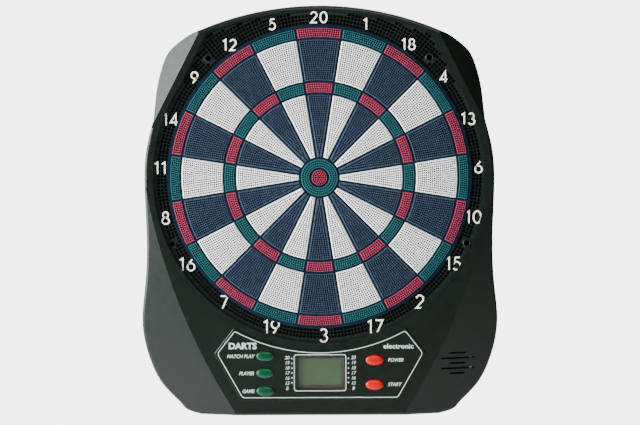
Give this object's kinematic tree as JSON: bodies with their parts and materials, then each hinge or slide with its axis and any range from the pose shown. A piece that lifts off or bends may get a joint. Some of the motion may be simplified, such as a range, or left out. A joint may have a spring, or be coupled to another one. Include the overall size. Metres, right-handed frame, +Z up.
{
  "type": "electronic dartboard",
  "caption": "Wall-hung electronic dartboard for soft-tip darts: sprung ring segments in a spider, recessed number ring, display panel with oval push buttons, speaker and battery cover.",
  "frame": {"origin": "where the bull's axis meets the wall plane, on the rear cover's back face", "axes": "+X to the player's right, +Y from the player into the wall, +Z up; the target faces -Y"},
  "size_m": [0.472, 0.041, 0.5406],
  "materials": {
    "case": "fine satin texture, dark green-black",
    "rear_plastic": "matt moulded",
    "catch_black": "matt moulded grille",
    "spider_navy": "satin moulded",
    "dark_segment": "satin moulded, navy; the double and triple are red",
    "light_segment": "satin moulded, white; the double and triple are green",
    "red_segment": "satin moulded",
    "green_segment": "satin moulded",
    "green_button": "semi-gloss",
    "red_button": "semi-gloss",
    "clear_window": "clear polished",
    "lcd": "polarised green-grey",
    "white_plastic": "moulded",
    "silicone": "matt translucent grey",
    "mat_rubber": "matt",
    "film": "printed polyester film",
    "hardboard": "pressed hardboard",
    "circuit_board": "solder mask",
    "chip_black": "epoxy",
    "zinc_steel": "zinc plated",
    "nickel_steel": "nickel plated",
    "paper_cone": "pressed paper pulp",
    "ferrite": "sintered ferrite",
    "wire_black": "vinyl insulation",
    "wire_red": "vinyl insulation",
    "cell_jacket": "shrink sleeve"
  },
  "bodies": {
    "board": {"front_housing": "case", "rear_cover": "rear_plastic", "catch_ring": "catch_black", "spider": "spider_navy", "rubber_mat": "mat_rubber", "membrane_front": "film", "membrane_spacer": "film", "membrane_back": "film", "membrane_tail": "film", "backing_board": "hardboard", "board_screws": "zinc_steel", "case_screws": "zinc_steel", "pcb_screws": "zinc_steel", "keypad_mat_left": "silicone", "keypad_mat_right": "silicone", "main_pcb": "circuit_board", "lcd_window": "clear_window", "lcd_holder": "white_plastic", "lcd_glass": "lcd", "elastomer_strips": "silicone", "controller_chip": "chip_black", "capacitors": "chip_black", "speaker_frame": "zinc_steel", "speaker_cone": "paper_cone", "speaker_magnet": "ferrite", "speaker_lead": "wire_black", "battery_lead": "wire_red", "batteries": "cell_jacket", "battery_springs": "nickel_steel", "battery_contacts": "nickel_steel"},
    "number_20": {"number_20_segments": "dark_segment"},
    "number_01": {"number_01_segments": "light_segment"},
    "number_18": {"number_18_segments": "dark_segment"},
    "number_04": {"number_04_segments": "light_segment"},
    "number_13": {"number_13_segments": "dark_segment"},
    "number_06": {"number_06_segments": "light_segment"},
    "number_10": {"number_10_segments": "dark_segment"},
    "number_15": {"number_15_segments": "light_segment"},
    "number_02": {"number_02_segments": "dark_segment"},
    "number_17": {"number_17_segments": "light_segment"},
    "number_03": {"number_03_segments": "dark_segment"},
    "number_19": {"number_19_segments": "light_segment"},
    "number_07": {"number_07_segments": "dark_segment"},
    "number_16": {"number_16_segments": "light_segment"},
    "number_08": {"number_08_segments": "dark_segment"},
    "number_11": {"number_11_segments": "light_segment"},
    "number_14": {"number_14_segments": "dark_segment"},
    "number_09": {"number_09_segments": "light_segment"},
    "number_12": {"number_12_segments": "dark_segment"},
    "number_05": {"number_05_segments": "light_segment"},
    "outer_bull_segment": {"outer_bull": "green_segment"},
    "inner_bull_segment": {"inner_bull": "red_segment"},
    "match_key": {"button_match": "green_button"},
    "player_key": {"button_player": "green_button"},
    "game_key": {"button_game": "green_button"},
    "power_key": {"button_power": "red_button"},
    "start_key": {"button_start": "red_button"},
    "battery_cover": {"battery_door": "rear_plastic"}
  },
  "joints": [
    {"name": "press_number_20", "type": "slide", "parent": "board", "child": "number_20", "axis": [0, 1, 0], "range_m": [0, 0.0012], "stiffness_N_per_m": 3000},
    {"name": "press_number_01", "type": "slide", "parent": "board", "child": "number_01", "axis": [0, 1, 0], "range_m": [0, 0.0012], "stiffness_N_per_m": 3000},
    {"name": "press_number_18", "type": "slide", "parent": "board", "child": "number_18", "axis": [0, 1, 0], "range_m": [0, 0.0012], "stiffness_N_per_m": 3000},
    {"name": "press_number_04", "type": "slide", "parent": "board", "child": "number_04", "axis": [0, 1, 0], "range_m": [0, 0.0012], "stiffness_N_per_m": 3000},
    {"name": "press_number_13", "type": "slide", "parent": "board", "child": "number_13", "axis": [0, 1, 0], "range_m": [0, 0.0012], "stiffness_N_per_m": 3000},
    {"name": "press_number_06", "type": "slide", "parent": "board", "child": "number_06", "axis": [0, 1, 0], "range_m": [0, 0.0012], "stiffness_N_per_m": 3000},
    {"name": "press_number_10", "type": "slide", "parent": "board", "child": "number_10", "axis": [0, 1, 0], "range_m": [0, 0.0012], "stiffness_N_per_m": 3000},
    {"name": "press_number_15", "type": "slide", "parent": "board", "child": "number_15", "axis": [0, 1, 0], "range_m": [0, 0.0012], "stiffness_N_per_m": 3000},
    {"name": "press_number_02", "type": "slide", "parent": "board", "child": "number_02", "axis": [0, 1, 0], "range_m": [0, 0.0012], "stiffness_N_per_m": 3000},
    {"name": "press_number_17", "type": "slide", "parent": "board", "child": "number_17", "axis": [0, 1, 0], "range_m": [0, 0.0012], "stiffness_N_per_m": 3000},
    {"name": "press_number_03", "type": "slide", "parent": "board", "child": "number_03", "axis": [0, 1, 0], "range_m": [0, 0.0012], "stiffness_N_per_m": 3000},
    {"name": "press_number_19", "type": "slide", "parent": "board", "child": "number_19", "axis": [0, 1, 0], "range_m": [0, 0.0012], "stiffness_N_per_m": 3000},
    {"name": "press_number_07", "type": "slide", "parent": "board", "child": "number_07", "axis": [0, 1, 0], "range_m": [0, 0.0012], "stiffness_N_per_m": 3000},
    {"name": "press_number_16", "type": "slide", "parent": "board", "child": "number_16", "axis": [0, 1, 0], "range_m": [0, 0.0012], "stiffness_N_per_m": 3000},
    {"name": "press_number_08", "type": "slide", "parent": "board", "child": "number_08", "axis": [0, 1, 0], "range_m": [0, 0.0012], "stiffness_N_per_m": 3000},
    {"name": "press_number_11", "type": "slide", "parent": "board", "child": "number_11", "axis": [0, 1, 0], "range_m": [0, 0.0012], "stiffness_N_per_m": 3000},
    {"name": "press_number_14", "type": "slide", "parent": "board", "child": "number_14", "axis": [0, 1, 0], "range_m": [0, 0.0012], "stiffness_N_per_m": 3000},
    {"name": "press_number_09", "type": "slide", "parent": "board", "child": "number_09", "axis": [0, 1, 0], "range_m": [0, 0.0012], "stiffness_N_per_m": 3000},
    {"name": "press_number_12", "type": "slide", "parent": "board", "child": "number_12", "axis": [0, 1, 0], "range_m": [0, 0.0012], "stiffness_N_per_m": 3000},
    {"name": "press_number_05", "type": "slide", "parent": "board", "child": "number_05", "axis": [0, 1, 0], "range_m": [0, 0.0012], "stiffness_N_per_m": 3000},
    {"name": "press_outer_bull", "type": "slide", "parent": "board", "child": "outer_bull_segment", "axis": [0, 1, 0], "range_m": [0, 0.0012], "stiffness_N_per_m": 3000},
    {"name": "press_inner_bull", "type": "slide", "parent": "board", "child": "inner_bull_segment", "axis": [0, 1, 0], "range_m": [0, 0.0012], "stiffness_N_per_m": 3000},
    {"name": "press_match", "type": "slide", "parent": "board", "child": "match_key", "axis": [0, 1, 0], "range_m": [0, 0.0015], "stiffness_N_per_m": 1500},
    {"name": "press_player", "type": "slide", "parent": "board", "child": "player_key", "axis": [0, 1, 0], "range_m": [0, 0.0015], "stiffness_N_per_m": 1500},
    {"name": "press_game", "type": "slide", "parent": "board", "child": "game_key", "axis": [0, 1, 0], "range_m": [0, 0.0015], "stiffness_N_per_m": 1500},
    {"name": "press_power", "type": "slide", "parent": "board", "child": "power_key", "axis": [0, 1, 0], "range_m": [0, 0.0015], "stiffness_N_per_m": 1500},
    {"name": "press_start", "type": "slide", "parent": "board", "child": "start_key", "axis": [0, 1, 0], "range_m": [0, 0.0015], "stiffness_N_per_m": 1500},
    {"name": "battery_cover_turn", "type": "hinge", "parent": "board", "child": "battery_cover", "pos_m": [-0.155, -0.0005, -0.2702], "axis": [-1, 0, 0], "range_deg": [0, 100]}
  ]
}
